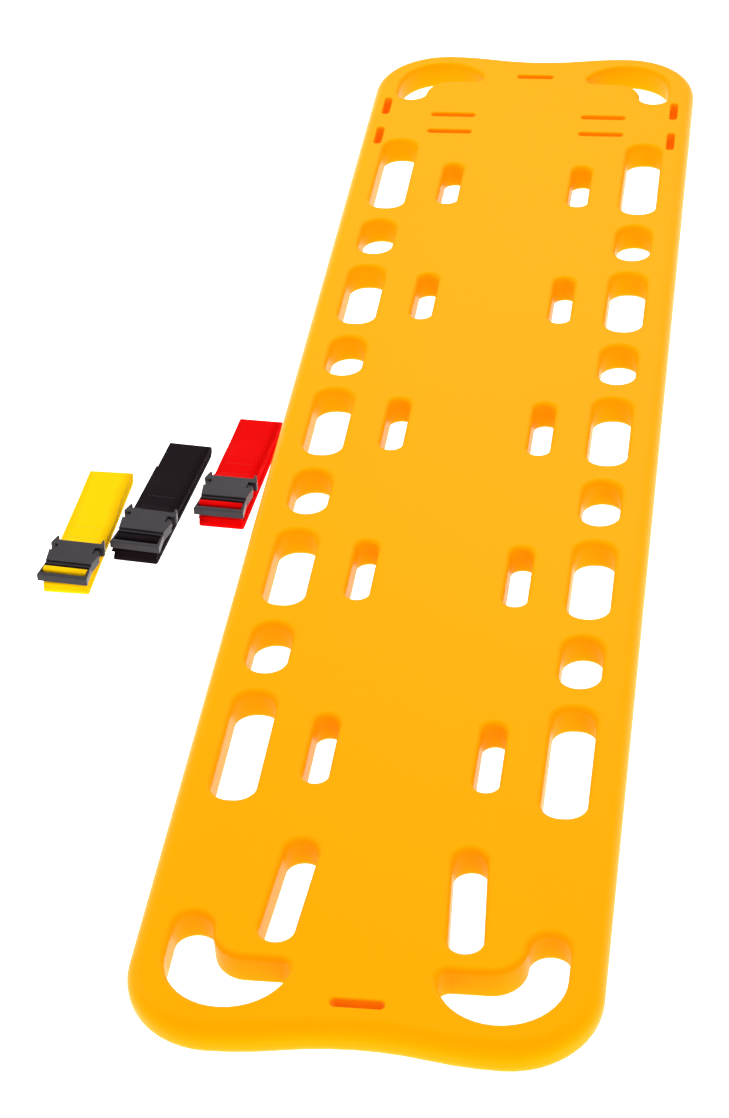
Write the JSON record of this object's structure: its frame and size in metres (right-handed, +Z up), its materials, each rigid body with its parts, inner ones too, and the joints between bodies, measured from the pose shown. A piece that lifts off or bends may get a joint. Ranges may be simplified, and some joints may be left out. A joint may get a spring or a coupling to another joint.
{
  "type": "spine board",
  "caption": "Long rigid spine board with rows of handholds and strap slots, lying beside three folded patient straps with side-release buckles.",
  "frame": {"origin": "centre of the board's middle runner, on the surface that the board rests on", "axes": "+X across the board to its right side, +Y along it to the head end, +Z up; the straps lie on the -X side"},
  "size_m": [0.6675, 1.868, 0.048],
  "materials": {
    "board_skin": "smooth moulded polyethylene, amber yellow",
    "foam": "rigid cream foam",
    "rod": "pultruded composite",
    "plug": "moulded plastic",
    "yellow_webbing": "woven webbing",
    "black_webbing": "woven webbing",
    "red_webbing": "woven webbing",
    "buckle": "satin moulded acetal"
  },
  "bodies": {
    "board": {"deck_skin": "board_skin", "base_skin": "board_skin", "foam_core": "foam", "stiffener_rod_left": "rod", "stiffener_rod_right": "rod", "foam_port_plug_head": "plug", "foam_port_plug_foot": "plug"},
    "yellow_strap": {"yellow_webbing_bundle": "yellow_webbing", "yellow_sewn_loop": "yellow_webbing", "yellow_buckle_housing": "buckle"},
    "yellow_insert": {"yellow_buckle_insert": "buckle", "yellow_ladder_turn": "yellow_webbing"},
    "yellow_arm_left": {"yellow_latch_arm_left": "buckle"},
    "yellow_arm_right": {"yellow_latch_arm_right": "buckle"},
    "black_strap": {"black_webbing_bundle": "black_webbing", "black_sewn_loop": "black_webbing", "black_buckle_housing": "buckle"},
    "black_insert": {"black_buckle_insert": "buckle", "black_ladder_turn": "black_webbing"},
    "black_arm_left": {"black_latch_arm_left": "buckle"},
    "black_arm_right": {"black_latch_arm_right": "buckle"},
    "red_strap": {"red_webbing_bundle": "red_webbing", "red_sewn_loop": "red_webbing", "red_buckle_housing": "buckle"},
    "red_insert": {"red_buckle_insert": "buckle", "red_ladder_turn": "red_webbing"},
    "red_arm_left": {"red_latch_arm_left": "buckle"},
    "red_arm_right": {"red_latch_arm_right": "buckle"}
  },
  "joints": [
    {"name": "yellow_strap_lift_off", "type": "slide", "parent": "board", "child": "yellow_strap", "axis": [0, 0, 1], "range_m": [0, 0.3]},
    {"name": "yellow_buckle_pull", "type": "slide", "parent": "yellow_strap", "child": "yellow_insert", "axis": [-0.1011, -0.9949, 0], "range_m": [0, 0.045], "deforming": ["yellow_latch_arm_left", "yellow_latch_arm_right"]},
    {"name": "yellow_squeeze_left", "type": "hinge", "parent": "yellow_insert", "child": "yellow_arm_left", "pos_m": [-0.43453, -0.23373, 0.0223], "axis": [0, 0, 1], "range_deg": [-12, 0]},
    {"name": "yellow_squeeze_right", "type": "hinge", "parent": "yellow_insert", "child": "yellow_arm_right", "pos_m": [-0.39673, -0.23757, 0.0223], "axis": [0, 0, 1], "range_deg": [0, 12]},
    {"name": "black_strap_lift_off", "type": "slide", "parent": "board", "child": "black_strap", "axis": [0, 0, 1], "range_m": [0, 0.3]},
    {"name": "black_buckle_pull", "type": "slide", "parent": "black_strap", "child": "black_insert", "axis": [-0.1271, -0.9919, 0], "range_m": [0, 0.045], "deforming": ["black_latch_arm_left", "black_latch_arm_right"]},
    {"name": "black_squeeze_left", "type": "hinge", "parent": "black_insert", "child": "black_arm_left", "pos_m": [-0.36525, -0.16932, 0.0223], "axis": [0, 0, 1], "range_deg": [-12, 0]},
    {"name": "black_squeeze_right", "type": "hinge", "parent": "black_insert", "child": "black_arm_right", "pos_m": [-0.32756, -0.17415, 0.0223], "axis": [0, 0, 1], "range_deg": [0, 12]},
    {"name": "red_strap_lift_off", "type": "slide", "parent": "board", "child": "red_strap", "axis": [0, 0, 1], "range_m": [0, 0.3]},
    {"name": "red_buckle_pull", "type": "slide", "parent": "red_strap", "child": "red_insert", "axis": [-0.0837, -0.9965, 0], "range_m": [0, 0.045], "deforming": ["red_latch_arm_left", "red_latch_arm_right"]},
    {"name": "red_squeeze_left", "type": "hinge", "parent": "red_insert", "child": "red_arm_left", "pos_m": [-0.28422, -0.10091, 0.0223], "axis": [0, 0, 1], "range_deg": [-12, 0]},
    {"name": "red_squeeze_right", "type": "hinge", "parent": "red_insert", "child": "red_arm_right", "pos_m": [-0.24636, -0.10409, 0.0223], "axis": [0, 0, 1], "range_deg": [0, 12]}
  ],
  "couplings": [
    {"joint": "yellow_squeeze_right", "follows": "yellow_squeeze_left", "ratio": -1},
    {"joint": "black_squeeze_right", "follows": "black_squeeze_left", "ratio": -1},
    {"joint": "red_squeeze_right", "follows": "red_squeeze_left", "ratio": -1}
  ]
}
